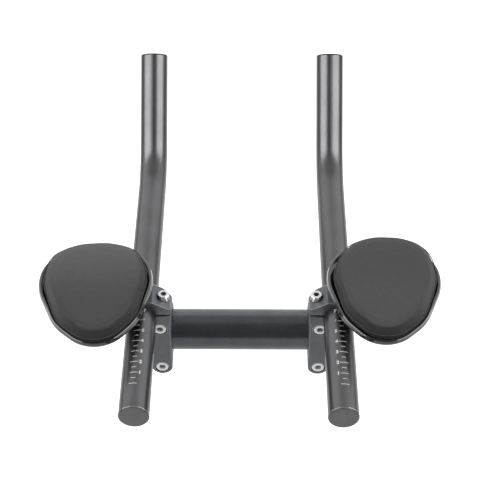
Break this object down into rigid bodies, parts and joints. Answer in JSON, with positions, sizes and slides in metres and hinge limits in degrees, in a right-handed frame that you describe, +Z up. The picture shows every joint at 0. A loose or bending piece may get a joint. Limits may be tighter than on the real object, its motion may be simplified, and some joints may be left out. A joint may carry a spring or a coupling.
{
  "type": "aero handlebar extension",
  "caption": "Clip-on aero bar: bent extension tubes slide in clamps above a short crossbar, and padded armrests sit on arms beside them.",
  "frame": {"origin": "middle of the crossbar, on its axis", "axes": "+X to the rider's right along the crossbar, +Y forward along the straight part of the extension tubes, +Z up"},
  "size_m": [0.2994, 0.3372, 0.1438],
  "materials": {
    "tube_black": "black anodised, satin",
    "bar_black": "black anodised, satin",
    "clamp_black": "black anodised, blasted",
    "screw_zinc": "zinc plated",
    "tray_black": "moulded, glossy",
    "pad_cloth": "knitted cover on foam",
    "loop_cloth": "hook and loop",
    "plug_black": "moulded"
  },
  "bodies": {
    "base": {"crossbar": "bar_black", "left_bar_plug": "plug_black", "right_bar_plug": "plug_black", "left_clamp_body": "clamp_black", "right_clamp_body": "clamp_black", "left_bar_cap": "clamp_black", "right_bar_cap": "clamp_black", "left_bar_bolts": "screw_zinc", "right_bar_bolts": "screw_zinc", "left_tube_cap": "clamp_black", "right_tube_cap": "clamp_black", "left_pinch_screws": "screw_zinc", "right_pinch_screws": "screw_zinc", "left_tray_screws": "screw_zinc", "right_tray_screws": "screw_zinc", "left_tray": "tray_black", "right_tray": "tray_black", "left_hook_and_loop": "loop_cloth", "right_hook_and_loop": "loop_cloth", "left_arm_pad": "pad_cloth", "right_arm_pad": "pad_cloth"},
    "left_extension": {"left_extension_tube": "tube_black", "left_rear_plug": "plug_black", "left_front_plug": "plug_black"},
    "right_extension": {"right_extension_tube": "tube_black", "right_rear_plug": "plug_black", "right_front_plug": "plug_black"}
  },
  "joints": [
    {"name": "left_extension_slide", "type": "slide", "parent": "base", "child": "left_extension", "axis": [0, 1, 0], "range_m": [-0.05, 0.07]},
    {"name": "right_extension_slide", "type": "slide", "parent": "base", "child": "right_extension", "axis": [0, 1, 0], "range_m": [-0.05, 0.07]}
  ]
}
